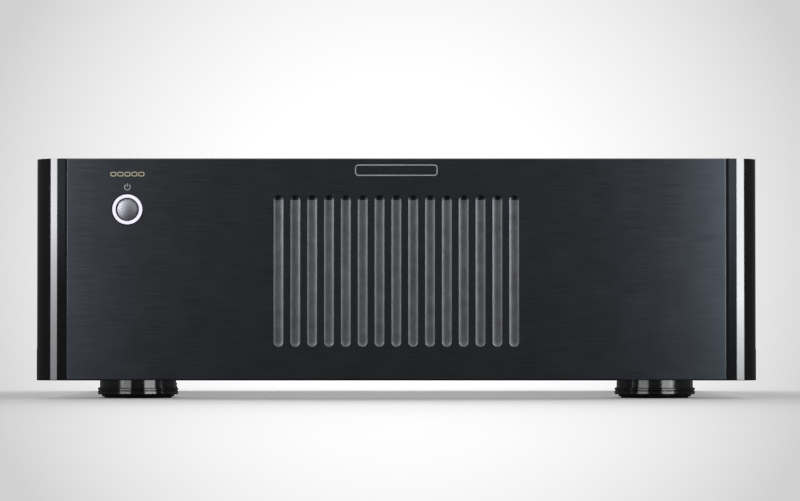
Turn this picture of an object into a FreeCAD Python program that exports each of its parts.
import FreeCAD
import Part
import math
import os

# Five-channel hi-fi power amplifier, in millimetres.
# +X is to the right as seen from the front, +Y runs to the rear and +Z is up.
# The origin lies on the surface that the feet stand on, under the middle of the bounding box.

V = FreeCAD.Vector

# Driving dimensions of the case
overall_width = 434.0
overall_depth = 407.0
panel_width = 396.2
panel_height = 133.3
panel_thickness = 8.0
stand_height = 10.9      # underside of the front panel above the surface
button_proud = 1.5       # power button's dome in front of the panel's face
post_reach = 27.0        # loudspeaker posts behind the rear panel
sheet = 1.2              # folded steel sheet
joint_gap = 0.2          # between the panel and each end column

# Front panel
flute_count = 15
flute_pitch = 10.11
flute_width = 5.8
flute_radius = 4.3
flute_length = 91.0
flute_top_inset = 22.2
panel_screw_xs = (-185.0, -95.0, 95.0, 185.0)
panel_screw_zs = (27.0, 127.0)
column_screw_x = 206.0
column_screw_zs = (35.0, 77.0, 119.0)
tapped_radius = 1.7
screw_shank_radius = 1.65

# Power button
button_x = -161.6
button_z = 113.5
button_radius = 6.6
button_travel = 3.0
ring_radius = 9.25
ring_bore_radius = 6.95
plunger_width = 4.0

# Feet
foot_places = {
    "foot_front_left": (-158.0, -157.0),
    "foot_front_right": (158.0, -157.0),
    "foot_rear_left": (-176.0, 140.0),
    "foot_rear_right": (176.0, 140.0),
}
foot_screw_radius = 1.9

# Rear sockets
channel_xs = (160.0, 98.0, 36.0, -26.0, -88.0)
balanced_dx = 11.0
balanced_z = 108.0
phono_dx = -15.0
phono_z = 116.0
selector_dx = -15.0
selector_z = 98.0
selector_travel = 3.2
mode_x = -165.0
mode_z = 118.0
mode_travel = 3.0        # each way from the middle
trigger_xs = (-155.0, -175.0)
trigger_z = 96.0
post_z = 44.0
post_dx = 9.5
stud_radius = 3.0
plug_bore_radius = 2.0
plug_bore_length = 15.8
inlet_x = -165.0
inlet_z = 48.0
drawer_travel = 22.0

# Inner modules
module_xs = (168.0, 103.0, 38.0, -27.0, -92.0)
board_under_z = 22.0
board_thickness = 1.6
module_width = 56.0
module_y = (-110.0, 40.0)
mains_board_x = (-200.0, -130.0)
mains_board_y = (-60.0, 60.0)
input_board_x = (-186.0, 190.0)
input_board_z = (84.0, 134.0)

# Levels and planes that follow from the driving dimensions
front_limit = -overall_depth / 2
face_y = front_limit + button_proud
panel_back_y = face_y + panel_thickness
rear_y = overall_depth / 2 - post_reach
rear_inner_y = rear_y - sheet
top_z = stand_height + panel_height
base_z = stand_height + 1.5
floor_z = base_z + sheet
half_panel = panel_width / 2
half_width = overall_width / 2
cover_half = half_width - 3.5
cover_top_z = top_z - 1.5
frame_back_y = panel_back_y + 2.0
board_top_z = board_under_z + board_thickness
input_board_back_y = rear_y - 18.0
LEFT, RIGHT = (-1, 0, 0), (1, 0, 0)
FRONT, REAR = (0, -1, 0), (0, 1, 0)
DOWN, UP = (0, 0, -1), (0, 0, 1)


def block(x, y, z):
    """A box between pairs of planes."""
    return Part.makeBox(x[1] - x[0], y[1] - y[0], z[1] - z[0], V(x[0], y[0], z[0]))


def centred(middle, size):
    """A box of a given size about its middle point."""
    low = [place - extent / 2 for place, extent in zip(middle, size)]
    return Part.makeBox(*size, V(*low))


def placed(shape, place, direction=UP):
    """A copy of a shape moved to a place, with its own +Z turned to a direction."""
    copy = shape.copy()
    copy.Placement = FreeCAD.Placement(V(*place), FreeCAD.Rotation(V(0, 0, 1), V(*direction)))
    return copy


def rod(radius, start, direction, length):
    return Part.makeCylinder(radius, length, V(*start), V(*direction))


def turned(outline, place=(0, 0, 0), direction=UP):
    """A turned solid from (radius, height) corners, with heights along the direction."""
    corners = [V(radius, 0, height) for radius, height in outline]
    face = Part.Face(Part.makePolygon(corners + corners[:1]))
    solid = face.revolve(V(0, 0, 0), V(0, 0, 1), 360)
    if solid.Volume < 0:
        solid.reverse()
    return placed(solid, place, direction)


def tube(outer, inner, place, direction, length):
    return turned([(inner, 0), (outer, 0), (outer, length), (inner, length)], place, direction)


def prism(corners, along):
    points = [V(*corner) for corner in corners]
    return Part.Face(Part.makePolygon(points + points[:1])).extrude(V(*along))


def hex_bar(across_flats, place, direction, length):
    reach = across_flats / math.sqrt(3)
    turns = [math.radians(60 * side) for side in range(6)]
    corners = [(reach * math.cos(turn), reach * math.sin(turn), 0) for turn in turns]
    return placed(prism(corners, (0, 0, length)), place, direction)


def hex_nut(across_flats, bore, place, direction, length):
    return hex_bar(across_flats, place, direction, length).cut(rod(bore, place, direction, length))


def slot_tool(length, width, depth):
    """A round-ended slot along Y, for cutting upwards through a depth."""
    half = (length - width) / 2
    end = width / 2
    edges = [
        Part.LineSegment(V(-end, -half, 0), V(-end, half, 0)).toShape(),
        Part.Arc(V(-end, half, 0), V(0, half + end, 0), V(end, half, 0)).toShape(),
        Part.LineSegment(V(end, half, 0), V(end, -half, 0)).toShape(),
        Part.Arc(V(end, -half, 0), V(0, -half - end, 0), V(-end, -half, 0)).toShape(),
    ]
    return Part.Face(Part.Wire(edges)).extrude(V(0, 0, depth))


def joined(pieces):
    return pieces[0].fuse(pieces[1:]).removeSplitter()


def screw(place, direction, shank, length, head, height):
    """A pan-head screw with a hexagon socket: place is under the head, direction the way it's driven."""
    outline = [(0, -height), (head - 0.5, -height), (head, 0.5 - height), (head, 0), (shank, 0)]
    outline += [(shank, length - 0.3), (shank - 0.3, length), (0, length)]
    body = turned(outline)
    socket = hex_bar(head * 0.8, (0, 0, -height - 0.1), UP, height * 0.6 + 0.1)
    return placed(body.cut(socket), place, direction)


def wire_along(points, radius):
    """A round wire: straight runs joined by tangent arcs, as large as the runs allow."""
    places = [V(*point) for point in points]
    edges = []
    start = places[0]
    for before, corner, after in zip(places, places[1:], places[2:]):
        arriving = (corner - before).normalize()
        leaving = (after - corner).normalize()
        trim = 0.45 * min((corner - before).Length, (after - corner).Length)
        half_turn = arriving.getAngle(leaving) / 2
        bend_radius = trim / math.tan(half_turn)
        inward = (leaving - arriving).normalize()
        middle = corner + inward * (bend_radius / math.cos(half_turn) - bend_radius)
        arc_start = corner - arriving * trim
        arc_end = corner + leaving * trim
        edges.append(Part.LineSegment(start, arc_start).toShape())
        edges.append(Part.Arc(arc_start, middle, arc_end).toShape())
        start = arc_end
    edges.append(Part.LineSegment(start, places[-1]).toShape())
    section = Part.Wire(Part.makeCircle(radius, places[0], places[1] - places[0]))
    return Part.Wire(edges).makePipeShell([section], True, False)


def mirrored(shape):
    """The same shape on the other side of the middle plane."""
    return shape.mirror(V(0, 0, 0), V(1, 0, 0))


# ---- Front ----

def front_panel():
    panel = block((-half_panel, half_panel), (face_y, panel_back_y), (stand_height, top_z))
    rim = [edge for edge in panel.Edges if abs(edge.BoundBox.YMax - face_y) < 0.01]
    panel = panel.makeChamfer(0.5, rim)
    return panel.cut(flute_tools() + button_seat_tools() + panel_screw_tools())


def flute_tools():
    """Shallow round-bottomed flutes with ball ends, side by side about the middle."""
    axis_y = face_y - math.sqrt(flute_radius ** 2 - (flute_width / 2) ** 2)
    upper = top_z - flute_top_inset - flute_width / 2
    lower = top_z - flute_top_inset - flute_length + flute_width / 2
    tools = []
    for number in range(flute_count):
        x = (number - (flute_count - 1) / 2) * flute_pitch
        tools.append(joined([
            rod(flute_radius, (x, axis_y, lower), UP, upper - lower),
            Part.makeSphere(flute_radius, V(x, axis_y, lower)),
            Part.makeSphere(flute_radius, V(x, axis_y, upper)),
        ]))
    return tools


def button_seat_tools():
    hole = ring_radius + joint_gap
    outline = [(0, -1), (hole + 1.2, -1), (hole, 0.2), (hole, 3.5), (13.0, 3.5), (13.0, 9.0), (0, 9.0)]
    return [turned(outline, (button_x, face_y, button_z), REAR)]


def panel_screw_tools():
    depth = 5.5
    places = [(x, panel_back_y, z) for x in panel_screw_xs for z in panel_screw_zs]
    return [rod(tapped_radius, place, FRONT, depth) for place in places]


def end_column():
    """The right-hand column: rounded in plan, with a lip that laps the side of the cover."""
    front_radius = 24.0
    turn = math.radians(35)
    width = half_width - half_panel - joint_gap
    side_radius = (width - front_radius * math.sin(turn)) / (1 - math.sin(turn))
    inner_x = half_panel + joint_gap
    nose_y = face_y + 0.8
    lip_x = cover_half + 0.4
    lip_back_y = nose_y + 29.2

    def on_arc(centre, radius, angle):
        return V(centre.x + radius * math.sin(angle), centre.y - radius * math.cos(angle), stand_height)

    front_centre = V(inner_x, nose_y + front_radius, 0)
    side_step = front_radius - side_radius
    side_centre = front_centre + V(side_step * math.sin(turn), -side_step * math.cos(turn), 0)
    nose = on_arc(front_centre, front_radius, 0)
    change = on_arc(front_centre, front_radius, turn)
    side = on_arc(side_centre, side_radius, math.pi / 2)
    corners = [side, V(half_width, lip_back_y, stand_height), V(lip_x, lip_back_y, stand_height),
               V(lip_x, panel_back_y, stand_height), V(inner_x, panel_back_y, stand_height), nose]
    edges = [
        Part.Arc(nose, on_arc(front_centre, front_radius, turn / 2), change).toShape(),
        Part.Arc(change, on_arc(side_centre, side_radius, (turn + math.pi / 2) / 2), side).toShape(),
    ]
    edges += [Part.LineSegment(a, b).toShape() for a, b in zip(corners, corners[1:])]
    column = Part.Face(Part.Wire(edges)).extrude(V(0, 0, panel_height))
    holes = [rod(tapped_radius, (column_screw_x, panel_back_y, z), FRONT, 4.2) for z in column_screw_zs]
    return column.cut(holes)


def front_subframe():
    """Folded steel plate behind the panel, with the shelf that carries the mains switch."""
    half = cover_half - 2.8
    low = floor_z
    high = cover_top_z - 3.0
    plate = block((-half, half), (panel_back_y, frame_back_y), (low, high))
    bottom = block((-half, half), (panel_back_y, frame_back_y + 16), (low, low + 2))
    top = block((-half, half), (panel_back_y, frame_back_y + 14), (high - 2, high))
    shelf = block((button_x - 11.6, button_x + 11.6), (panel_back_y, frame_back_y + 37), (101, 103))
    frame = joined([plate, bottom, top, shelf])
    tools = [rod(7.2, (button_x, panel_back_y - 1, button_z), REAR, 5)]
    tools += [centred((middle, panel_back_y, 80), (110, 10, 80)) for middle in (-75, 75)]
    places = [(x, z) for x in panel_screw_xs for z in panel_screw_zs]
    places += [(side * column_screw_x, z) for side in (-1, 1) for z in column_screw_zs]
    tools += [rod(2.1, (x, panel_back_y - 1, z), REAR, 5) for x, z in places]
    return frame.cut(tools)


def front_screws():
    panel = [screw((x, frame_back_y, z), FRONT, screw_shank_radius, 6.9, 3.5, 2.4)
             for x in panel_screw_xs for z in panel_screw_zs]
    column = [screw((side * column_screw_x, frame_back_y, z), FRONT, screw_shank_radius, 5.9, 3.5, 2.4)
              for side in (-1, 1) for z in column_screw_zs]
    return Part.makeCompound(panel + column)


def power_light_ring():
    """Translucent ring with a flange behind the panel and a groove over the lamps."""
    outline = [(ring_bore_radius, -0.4), (ring_bore_radius + 0.2, -0.6), (ring_radius - 0.3, -0.6),
               (ring_radius, -0.3), (ring_radius, 3.5), (12.6, 3.5), (12.6, 6.7), (11.3, 6.7),
               (11.3, 5.3), (8.2, 5.3), (8.2, 6.7), (ring_bore_radius, 6.7)]
    return turned(outline, (button_x, face_y, button_z), REAR)


def power_led_board():
    board = tube(12.3, 7.2, (button_x, face_y + 6.8, button_z), REAR, 1.2)
    lamps = []
    for number in range(4):
        turn = math.radians(45 + 90 * number)
        middle = (button_x + 9.75 * math.cos(turn), face_y + 6.35, button_z + 9.75 * math.sin(turn))
        lamps.append(centred(middle, (1.8, 0.9, 1.8)))
    return joined([board] + lamps)


def power_button():
    dome_rise = 2.0
    dome_radius = (button_radius ** 2 + dome_rise ** 2) / (2 * dome_rise)
    head = rod(button_radius, (button_x, front_limit - 1, button_z), REAR, 8.0)
    dome = Part.makeSphere(dome_radius, V(button_x, front_limit + dome_radius, button_z))
    stem = rod(3.0, (button_x, front_limit + 7, button_z), REAR, 9.2)
    return joined([head.common(dome), stem])


def switch_plunger():
    half = plunger_width / 2
    return block((button_x - half, button_x + half), (front_limit + 16.2, front_limit + 37.5),
                 (button_z - half, button_z + half))


def power_switch_body():
    bore = plunger_width / 2 + 0.2
    body = block((button_x - 11, button_x + 11), (frame_back_y + 8, frame_back_y + 42), (103, 123))
    well = block((button_x - bore, button_x + bore), (frame_back_y + 7, frame_back_y + 32),
                 (button_z - bore, button_z + bore))
    tags = [centred((button_x + dx, frame_back_y + 44, button_z), (0.8, 4, 4)) for dx in (-8, 8)]
    return joined([body.cut(well)] + tags)


# ---- Case ----

side_screw_ys = (-150.0, -10.0, 130.0)
side_screw_z = 22.0
top_screw_xs = (-150.0, 0.0, 150.0)
top_screw_y = 169.0
rear_screw_xs = (-190.0, -95.0, 0.0, 95.0, 190.0)
rear_screw_z = 20.0


def bottom_tray():
    """Folded tray with low side flanges, vents and the holes for the feet."""
    half = cover_half - 1.4
    front = frame_back_y + 0.1
    floor = block((-half, half), (front, rear_inner_y), (base_z, floor_z))
    sides = [block(x, (front, rear_inner_y), (base_z, 30)) for x in ((-half, sheet - half), (half - sheet, half))]
    back = block((-half, half), (rear_inner_y - sheet, rear_inner_y), (base_z, 28))
    tray = joined([floor, back] + sides)
    vent = slot_tool(44, 4, 3)
    tools = [placed(vent, (-123.5 + 13 * column, y, base_z - 1)) for column in range(20) for y in (-80, 60)]
    tools += [rod(2.2, (x, y, base_z - 1), UP, 3) for x, y in foot_places.values()]
    tools += [rod(tapped_radius, (-half - 1, y, side_screw_z), RIGHT, 2 * half + 2) for y in side_screw_ys]
    tools += [rod(tapped_radius, (x, rear_inner_y - 3, rear_screw_z), REAR, 4) for x in rear_screw_xs]
    return tray.cut(tools)


def rear_panel():
    """Rear sheet with a flange along its top and an opening for every socket."""
    half = cover_half - 1.4
    high = cover_top_z - sheet
    sheet_y = (rear_inner_y, rear_y)
    panel = block((-half, half), sheet_y, (base_z, high))
    flange = block((-half, half), (rear_y - 13.5, rear_y), (high - sheet, high))
    back = rear_y - 3

    def hole(radius, x, z):
        return rod(radius, (x, back, z), REAR, 5)

    tools = [hole(screw_shank_radius + 0.15, x, rear_screw_z) for x in rear_screw_xs]
    tools += [rod(tapped_radius, (x, top_screw_y, high - 3), UP, 4) for x in top_screw_xs]
    for x in channel_xs:
        tools.append(hole(12.2, x + balanced_dx, balanced_z))
        tools.append(hole(4.9, x + phono_dx, phono_z))
        tools.append(centred((x + selector_dx, rear_y, selector_z), (7.0, 5, 3.2)))
        tools += [hole(5.6, x + side * post_dx, post_z) for side in (-1, 1)]
        tools += [hole(1.5, sx, sz) for sx, sz in balanced_screw_places(x)]
    tools.append(centred((mode_x, rear_y, mode_z), (9.8, 5, 3.2)))
    tools += [hole(3.2, x, trigger_z) for x in trigger_xs]
    tools.append(block((inlet_x - 14.3, inlet_x + 14.3), (back, rear_y + 1), (inlet_z - 14.8, inlet_z + 14.8)))
    tools += [hole(1.5, inlet_x + side * 20, inlet_z) for side in (-1, 1)]
    outline = rounded_top(half, high, (rear_y - 20, rear_y), 3.0)
    return joined([panel, flange]).common(outline).cut(tools)


def top_cover():
    """Folded cover: top and both sides in one sheet, with rows of vents over the modules."""
    y = (panel_back_y + 0.2, rear_y + 1.0)
    outer = rounded_top(cover_half, cover_top_z, y, 3.0)
    inner = rounded_top(cover_half - sheet, cover_top_z - sheet, y, 3.0 - sheet)
    cover = outer.cut(inner)
    vent = slot_tool(58, 3.2, 4)
    tools = [placed(vent, (8.4 * column, vent_y, cover_top_z - 3))
             for column in range(-20, 21) for vent_y in (-56, 18)]
    side_vent = placed(slot_tool(46, 3.2, 6), (0, 0, 0)).rotate(V(0, 0, 0), V(1, 0, 0), 90)
    side_vent = side_vent.rotate(V(0, 0, 0), V(0, 0, 1), 90)
    for side in (-1, 1):
        for number in range(14):
            tool = side_vent.copy()
            tool.translate(V(side * cover_half - 3, -110 + 8.4 * number, 86))
            tools.append(tool)
    reach = screw_shank_radius + 0.15
    tools += [rod(reach, (-cover_half - 1, vent_y, side_screw_z), RIGHT, 2 * cover_half + 2)
              for vent_y in side_screw_ys]
    tools += [rod(reach, (x, top_screw_y, cover_top_z - 3), UP, 4) for x in top_screw_xs]
    return cover.cut(tools)


def rounded_top(half, high, y, bend):
    """A long block whose two upper edges are rounded."""
    body = block((-half, half), y, (base_z, high))
    bends = [edge for edge in body.Edges
             if abs(edge.BoundBox.ZMin - high) < 0.01 and edge.BoundBox.YLength > 10]
    return body.makeFillet(bend, bends)


def case_screws():
    """Every screw that shows from outside: cover, rear panel, sockets and mains inlet."""
    pieces = [screw((side * cover_half, y, side_screw_z), (-side, 0, 0), screw_shank_radius, 6.0, 3.2, 2.0)
              for side in (-1, 1) for y in side_screw_ys]
    pieces += [screw((x, top_screw_y, cover_top_z), DOWN, screw_shank_radius, 6.0, 3.2, 1.4)
               for x in top_screw_xs]
    pieces += [screw((x, rear_y, rear_screw_z), FRONT, screw_shank_radius, 6.0, 3.2, 2.0) for x in rear_screw_xs]
    pieces += [screw((x, rear_y + 2, z), FRONT, 1.4, 6.0, 2.6, 1.6)
               for channel_x in channel_xs for x, z in balanced_screw_places(channel_x)]
    pieces += [screw((inlet_x + side * 20, rear_y + 3, inlet_z), FRONT, 1.4, 7.0, 2.6, 1.6) for side in (-1, 1)]
    return Part.makeCompound(pieces)


def foot(place):
    """Turned foot: drum, grooved flange, shorter lower drum and the groove that holds the pad."""
    outline = [(2.2, base_z), (22.9, base_z), (23.1, base_z - 0.2), (23.1, 6.1), (24.1, 5.9), (24.4, 5.6),
               (24.4, 4.9), (23.8, 4.5), (23.8, 4.3), (24.4, 3.9), (24.4, 2.5), (24.0, 2.1), (22.1, 2.1),
               (21.8, 0.8), (20.6, 0.8), (20.6, 2.0), (12.0, 2.0), (12.0, 0.8), (6.0, 0.8), (6.0, 7.4),
               (2.2, 7.4)]
    return turned(outline, (place[0], place[1], 0))


def foot_pads():
    outline = [(12.1, 0.3), (12.4, 0), (20.2, 0), (20.5, 0.3), (20.5, 2.0), (12.1, 2.0)]
    return Part.makeCompound([turned(outline, (x, y, 0)) for x, y in foot_places.values()])


def foot_fixings():
    """A screw up through each foot, with its nut on the tray."""
    pieces = [screw((x, y, 7.4), UP, foot_screw_radius, 9.6, 4.2, 2.6) for x, y in foot_places.values()]
    pieces += [hex_nut(7.0, foot_screw_radius + 0.05, (x, y, floor_z), UP, 3.2) for x, y in foot_places.values()]
    return Part.makeCompound(pieces)


# ---- Rear sockets ----

def balanced_screw_places(channel_x):
    middle = channel_x + balanced_dx
    return [(middle + 9.5, balanced_z + 12.0), (middle - 9.5, balanced_z - 12.0)]


def balanced_shell(channel_x):
    """Three-pole balanced socket: square flange in front of the panel and a round body behind it."""
    x = channel_x + balanced_dx
    flange = centred((x, rear_y + 1, balanced_z), (26, 2, 31))
    corners = [edge for edge in flange.Edges if edge.BoundBox.YLength > 1.9]
    flange = flange.makeFillet(3.0, corners)
    body = rod(12.0, (x, input_board_back_y, balanced_z), REAR, 18)
    recess = rod(9.45, (x, rear_y - 13, balanced_z), REAR, 20)
    holes = [rod(1.6, (sx, rear_y - 1, sz), REAR, 5) for sx, sz in balanced_screw_places(channel_x)]
    return joined([flange, body]).cut([recess] + holes)


def balanced_insert(channel_x):
    """The insulating core inside the socket, with three contact holes and a keyway."""
    x = channel_x + balanced_dx
    core = rod(7.75, (x, rear_y - 13, balanced_z), REAR, 14.5)
    tools = []
    for degrees in (35, 145, 270):
        turn = math.radians(degrees)
        place = (x + 4.6 * math.cos(turn), rear_y - 10.5, balanced_z + 4.6 * math.sin(turn))
        tools.append(rod(1.3, place, REAR, 14))
    tools.append(centred((x, rear_y - 4.5, balanced_z + 7.0), (2.4, 14, 2.4)))
    return core.cut(tools)


def phono_barrel(channel_x):
    """Single-ended socket: one turned barrel with a hexagon flange, and its nut inside."""
    x = channel_x + phono_dx
    back = rod(4.5, (x, input_board_back_y, phono_z), REAR, 18.8)
    flange = hex_bar(10.4, (x, rear_y + 0.8, phono_z), REAR, 2.0)
    barrel = turned([(0, 0), (4.15, 0), (4.15, 9.2), (3.85, 9.5), (0, 9.5)], (x, rear_y + 2.8, phono_z), REAR)
    bore = rod(3.3, (x, input_board_back_y - 1, phono_z), REAR, 40)
    nut = hex_nut(10.4, 4.55, (x, rear_inner_y - 2.8, phono_z), REAR, 2.8)
    return [joined([back, flange, barrel]).cut(bore), nut]


def phono_insulators(channel_x):
    """The washer against the panel, and the core with the hole for the centre contact."""
    x = channel_x + phono_dx
    washer = tube(6.3, 4.6, (x, rear_y, phono_z), REAR, 0.8)
    core = rod(3.25, (x, rear_y - 16, phono_z), REAR, 27.8)
    hole = rod(1.6, (x, rear_y + 3.3, phono_z), REAR, 9)
    return [washer, core.cut(hole)]


def slide_switch(x, z, travel):
    """A slide switch body behind the panel, for a lever that moves by travel in all."""
    width = travel + 9.8
    front = rear_inner_y
    body = block((x - width / 2, x + width / 2), (front - 7, front), (z - 4, z + 4))
    cavity = centred((x, front, z), (travel + 6.4, 4.0, 4.8))
    pins = [block((x + dx - 0.5, x + dx + 0.5), (input_board_back_y, front - 7), (z - 0.5, z + 0.5))
            for dx in (-4, 0, 4)]
    return joined([body.cut(cavity)] + pins)


def switch_lever(x, z):
    """A slide switch lever: flat base held behind the panel, and a ribbed stem through its window."""
    base = block((x - 3, x + 3), (rear_inner_y - 1.8, rear_inner_y - 0.2), (z - 2.2, z + 2.2))
    stem = block((x - 1.7, x + 1.7), (rear_inner_y - 0.2, rear_y + 3), (z - 1.3, z + 1.3))
    ribs = [centred((x + dx, rear_y + 3, z), (0.4, 0.8, 4)) for dx in (-1.0, 0.0, 1.0)]
    return joined([base, stem]).cut(ribs)


def trigger_jack(x):
    """Small control jack: bush through the panel, body behind it and a nut outside."""
    body = block((x - 5, x + 5), (input_board_back_y, rear_inner_y), (trigger_z - 5, trigger_z + 5))
    bush = rod(3.0, (x, rear_inner_y - 1, trigger_z), REAR, 4.6)
    bore = rod(1.8, (x, rear_y - 11.6, trigger_z), REAR, 20)
    nut = hex_nut(8.0, 3.05, (x, rear_y, trigger_z), REAR, 1.8)
    return [joined([body, bush]).cut(bore), nut]


def post_collar(x):
    """Insulating collar with a boss that passes through the panel."""
    outline = [(3.05, -3.0), (5.4, -3.0), (5.4, 0), (8.0, 0), (8.0, 5.4), (7.4, 6.0), (3.05, 6.0)]
    return turned(outline, (x, rear_y, post_z), REAR)


def post_stud(x):
    """Threaded stud with a wire hole, a bore for a plug, a washer and the nut inside the case."""
    rod_solid = turned([(0, -7.5), (3.0, -7.5), (3.0, 25.6), (2.6, 26.0), (0, 26.0)], (x, rear_y, post_z), REAR)
    bore = rod(plug_bore_radius, (x, rear_y + 26.0 - plug_bore_length, post_z), REAR, 20)
    wire_hole = rod(1.2, (x - 5, rear_y + 8.6, post_z), RIGHT, 10)
    washer = tube(6.5, 3.05, (x, rear_y + 6.0, post_z), REAR, 1.2)
    nut = hex_nut(9.0, 3.05, (x, rear_y - 6.2, post_z), REAR, 3.2)
    return [rod_solid.cut([bore, wire_hole]), washer, nut]


def post_cap(x):
    """Screw cap of a loudspeaker post: grip flutes round the outside and a bore for the stud."""
    outline = [(3.1, 7.4), (6.6, 7.4), (7.0, 7.8), (7.0, 9.2), (7.9, 10.0), (7.9, 25.6), (7.2, 27.0), (4.2, 27.0),
               (3.1, 26.2)]
    cap = turned(outline)
    grips = []
    for number in range(18):
        turn = math.radians(20 * number)
        grips.append(rod(0.6, (8.1 * math.cos(turn), 8.1 * math.sin(turn), 9.0), UP, 15.0))
    return placed(cap.cut(grips), (x, rear_y, post_z), REAR)


def inlet_profile(half_x, half_z, cut):
    """The outline of a mains coupler, with its two upper corners cut off."""
    low, high = inlet_z + 5 - half_z, inlet_z + 5 + half_z
    left, right = inlet_x - half_x, inlet_x + half_x
    return [(left, low), (right, low), (right, high - cut), (right - cut, high), (left + cut, high),
            (left, high - cut)]


def mains_inlet_body():
    """Mains inlet with its flange, the socket recess, and the slot of the fuse drawer below it."""
    flange = centred((inlet_x, rear_y + 1.5, inlet_z), (50, 3, 34))
    corners = [edge for edge in flange.Edges if edge.BoundBox.YLength > 2.9]
    flange = flange.makeFillet(3.0, corners)
    body = block((inlet_x - 14, inlet_x + 14), (rear_y - 26.5, rear_y), (inlet_z - 14.5, inlet_z + 14.5))
    recess_back = rear_y - 14
    corners = [(x, recess_back, z) for x, z in inlet_profile(12.4, 8.3, 4.5)]
    recess = prism(corners, (0, 20, 0))
    slot = block((inlet_x - 10, inlet_x + 10), (rear_y - 21, rear_y + 5), (inlet_z - 13.8, inlet_z - 5.8))
    holes = [rod(1.6, (inlet_x + side * 20, rear_y - 1, inlet_z), REAR, 6) for side in (-1, 1)]
    return joined([flange, body]).cut([recess, slot] + holes + pin_blanks())


def pin_blanks():
    """The three blades of the mains inlet before their tips are shaped."""
    places = [(-7, 3), (7, 3), (0, 7)]
    return [block((inlet_x + dx - 1, inlet_x + dx + 1), (rear_y - 30.5, rear_y - 1.7),
                  (inlet_z + dz - 2, inlet_z + dz + 2)) for dx, dz in places]


def mains_inlet_pins():
    shaped = []
    for blade in pin_blanks():
        tip = [edge for edge in blade.Edges
               if edge.BoundBox.YMin > rear_y - 1.8 and edge.BoundBox.ZLength > 3]
        shaped.append(blade.makeChamfer(0.5, tip))
    return Part.makeCompound(shaped)


fuse_dx = 5.0
fuse_z = inlet_z - 10.1
fuse_y = (rear_y - 18.6, rear_y + 1.4)


def fuse_drawer():
    """Drawer with two fuse troughs and a finger lip on its front plate."""
    front = rear_y + 3.1
    tray = block((inlet_x - 9.8, inlet_x + 9.8), (rear_y - 20.3, front), (inlet_z - 13.6, inlet_z - 6.0))
    plate = block((inlet_x - 10.6, inlet_x + 10.6), (front, front + 1.8), (inlet_z - 14.4, inlet_z - 5.2))
    lip = block((inlet_x - 4, inlet_x + 4), (front + 1.8, front + 3.4), (inlet_z - 7.0, inlet_z - 5.6))
    troughs = [block((inlet_x + dx - 2.8, inlet_x + dx + 2.8), (fuse_y[0] - 0.1, fuse_y[1] + 0.1),
                     (fuse_z - 2.7, inlet_z)) for dx in (-fuse_dx, fuse_dx)]
    return joined([tray, plate, lip]).cut(troughs)


def fuse_links():
    """Two glass fuses: a tube between two end caps each."""
    pieces = []
    for dx in (-fuse_dx, fuse_dx):
        x = inlet_x + dx
        pieces.append(rod(2.6, (x, fuse_y[0], fuse_z), REAR, 5.5))
        pieces.append(tube(2.4, 1.9, (x, fuse_y[0] + 5.5, fuse_z), REAR, 9.0))
        pieces.append(rod(2.6, (x, fuse_y[1] - 5.5, fuse_z), REAR, 5.5))
    return Part.makeCompound(pieces)


# ---- Inside the case ----

standoff_inset = 5.0


def board_screw_places():
    """Where every horizontal board is held, as (x, y)."""
    places = []
    spans = [((x - module_width / 2, x + module_width / 2), module_y) for x in module_xs]
    for span_x, span_y in spans + [(mains_board_x, mains_board_y)]:
        places += [(x, y) for x in (span_x[0] + standoff_inset, span_x[1] - standoff_inset)
                   for y in (span_y[0] + standoff_inset, span_y[1] - standoff_inset)]
    return places


def circuit_board(span_x, span_y):
    board = block(span_x, span_y, (board_under_z, board_top_z))
    holes = [rod(1.7, (x, y, board_under_z - 1), UP, 4) for x, y in board_screw_places()
             if span_x[0] < x < span_x[1]]
    return board.cut(holes)


def amplifier_boards():
    half = module_width / 2
    return Part.makeCompound([circuit_board((x - half, x + half), module_y) for x in module_xs])


def heat_sinks():
    """One finned block on each amplifier board."""
    sinks = []
    for x in module_xs:
        base = block((x - 25, x + 25), (-46, 2), (board_top_z, board_top_z + 5))
        fins = [centred((x + 6 * number, -22, board_top_z + 24), (1.8, 48, 40)) for number in range(-4, 5)]
        sinks.append(joined([base] + fins))
    return Part.makeCompound(sinks)


def capacitors():
    """Two reservoir capacitors on each amplifier board, with a rolled groove near the foot."""
    outline = [(0, 0), (11.6, 0), (12.0, 0.6), (12.0, 3.4), (11.3, 4.2), (12.0, 5.0), (12.0, 39.2),
               (11.2, 40.0), (0, 40.0)]
    return Part.makeCompound([turned(outline, (x + side * 12.6, -90, board_top_z))
                              for x in module_xs for side in (-1, 1)])


def module_transformers():
    """A switching transformer on each amplifier board: core halves round a wound bobbin."""
    pieces = []
    for x in module_xs:
        core = centred((x, -62, board_top_z + 13), (34, 14, 26))
        window = centred((x, -62, board_top_z + 13), (26, 15, 18))
        pieces.append(core.cut(window))
        pieces.append(centred((x, -62, board_top_z + 13), (25.6, 20, 17.6)))
    return Part.makeCompound(pieces)


def output_inductors():
    """A wound ring in the output filter of each module."""
    outline = [(5.5, 0), (10.5, 0), (11.5, 1.5), (11.5, 9.5), (10.5, 11), (5.5, 11), (4.8, 9.5), (4.8, 1.5)]
    return Part.makeCompound([turned(outline, (x, 17, board_top_z)) for x in module_xs])


def mains_board():
    """Mains filter board: choke, film capacitors and relay on one board."""
    x = inlet_x
    pieces = [circuit_board(mains_board_x, mains_board_y)]
    pieces.append(tube(15, 7, (x - 8, 26, board_top_z), UP, 16))
    pieces.append(centred((x + 20, 24, board_top_z + 9), (12, 30, 18)))
    pieces.append(centred((x + 18, -20, board_top_z + 8), (16, 28, 16)))
    pieces.append(centred((x - 16, -24, board_top_z + 10), (18, 30, 20)))
    return Part.makeCompound(pieces)


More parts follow.
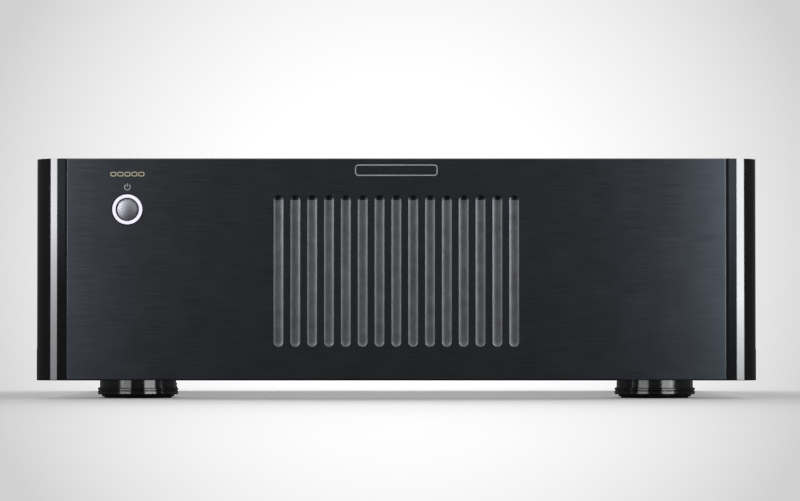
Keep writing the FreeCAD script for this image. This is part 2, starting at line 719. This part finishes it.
def board_standoffs():
    """Threaded pillars on the tray and the screws that hold the boards down."""
    pieces = []
    for x, y in board_screw_places():
        pillar = hex_bar(5.5, (x, y, floor_z), UP, board_under_z - floor_z)
        pieces.append(pillar.cut(rod(1.4, (x, y, board_under_z - 6), UP, 7)))
        pieces.append(screw((x, y, board_top_z), DOWN, 1.35, 6.6, 2.6, 1.8))
    return Part.makeCompound(pieces)


def input_board():
    return block(input_board_x, (input_board_back_y - 1.6, input_board_back_y), input_board_z)


def speaker_wires():
    """A pair of wires from each module to the studs of its posts."""
    stud_end_y = rear_y - 7.5
    wires = []
    for module_x, channel_x in zip(module_xs, channel_xs):
        for start_x, end_x in ((module_x - 14, channel_x - post_dx), (module_x + 7, channel_x + post_dx)):
            points = [(start_x, 33, board_top_z), (start_x, 33, post_z - 1), (start_x, 80, post_z + 2),
                      (end_x, 124, post_z), (end_x, stud_end_y, post_z)]
            wires.append(wire_along(points, 1.5))
    return Part.makeCompound(wires)


def signal_leads():
    """A screened lead from the input board down to each module."""
    face = input_board_back_y - 1.6
    leads = []
    for module_x, channel_x in zip(module_xs, channel_xs):
        x = module_x + 20
        points = [(x, face, 90), (x, 96, 90), (x, 28, 68), (x, 28, board_top_z)]
        leads.append(wire_along(points, 1.75))
    return Part.makeCompound(leads)


def mains_wires():
    """Wires from the inlet's blades to the filter board, and from there to the mains switch."""
    blade_y = rear_y - 30.5
    wires = []
    for dx, dz in ((-7, 3), (7, 3), (0, 7)):
        x = inlet_x + dx
        points = [(x, blade_y, inlet_z + dz), (x, 82, inlet_z + dz), (x, 46, inlet_z - 8),
                  (x, 46, board_top_z)]
        wires.append(wire_along(points, 1.3))
    for dx in (-8, 8):
        x = button_x + dx
        points = [(x, -45, board_top_z), (x, -45, 70), (x, -74, button_z),
                  (x, frame_back_y + 46, button_z)]
        wires.append(wire_along(points, 1.3))
    return Part.makeCompound(wires)


# ---- Every piece by the name of its node ----

def gathered(lists):
    """One compound from several lists of solids."""
    return Part.makeCompound([solid for pieces in lists for solid in pieces])


def first_pieces():
    column = end_column()
    nodes = {
        "front_panel": front_panel(),
        "end_column_left": mirrored(column),
        "end_column_right": column,
        "front_subframe": front_subframe(),
        "front_screws": front_screws(),
        "power_light_ring": power_light_ring(),
        "power_led_board": power_led_board(),
        "power_button": power_button(),
        "switch_plunger": switch_plunger(),
        "power_switch_body": power_switch_body(),
        "bottom_tray": bottom_tray(),
        "rear_panel": rear_panel(),
        "top_cover": top_cover(),
        "case_screws": case_screws(),
        "foot_pads": foot_pads(),
        "foot_fixings": foot_fixings(),
    }
    for name, place in foot_places.items():
        nodes[name] = foot(place)
    return nodes


def rear_pieces():
    post_xs = [x + side * post_dx for x in channel_xs for side in (-1, 1)]
    switches = [slide_switch(x + selector_dx, selector_z, selector_travel) for x in channel_xs]
    switches.append(slide_switch(mode_x, mode_z, 2 * mode_travel))
    nodes = {
        "balanced_shells": Part.makeCompound([balanced_shell(x) for x in channel_xs]),
        "balanced_inserts": Part.makeCompound([balanced_insert(x) for x in channel_xs]),
        "phono_barrels": gathered([phono_barrel(x) for x in channel_xs]),
        "phono_insulators": gathered([phono_insulators(x) for x in channel_xs]),
        "slide_switch_bodies": Part.makeCompound(switches),
        "trigger_jacks": gathered([trigger_jack(x) for x in trigger_xs]),
        "post_collars": Part.makeCompound([post_collar(x) for x in post_xs]),
        "post_studs": gathered([post_stud(x) for x in post_xs]),
        "mains_inlet_body": mains_inlet_body(),
        "mains_inlet_pins": mains_inlet_pins(),
        "fuse_drawer": fuse_drawer(),
        "fuse_links": fuse_links(),
        "mode_switch_lever": switch_lever(mode_x, mode_z),
    }
    for number, x in enumerate(channel_xs, 1):
        rest_x = x + selector_dx - selector_travel / 2
        nodes["input_switch_lever_%d" % number] = switch_lever(rest_x, selector_z)
        nodes["post_cap_black_%d" % number] = post_cap(x - post_dx)
        nodes["post_cap_red_%d" % number] = post_cap(x + post_dx)
    return nodes


def inner_pieces():
    return {
        "amplifier_boards": amplifier_boards(),
        "heat_sinks": heat_sinks(),
        "capacitors": capacitors(),
        "module_transformers": module_transformers(),
        "output_inductors": output_inductors(),
        "mains_board": mains_board(),
        "board_standoffs": board_standoffs(),
        "input_board": input_board(),
        "speaker_wires": speaker_wires(),
        "signal_leads": signal_leads(),
        "mains_wires": mains_wires(),
    }


os.makedirs("parts", exist_ok=True)
nodes = {**first_pieces(), **rear_pieces(), **inner_pieces()}
for name, shape in nodes.items():
    shape.exportStep("parts/%s.step" % name)
    print(name, len(shape.Solids), "solids", round(shape.Volume), "mm3", "valid" if shape.isValid() else "INVALID")
print(len(nodes), "nodes")
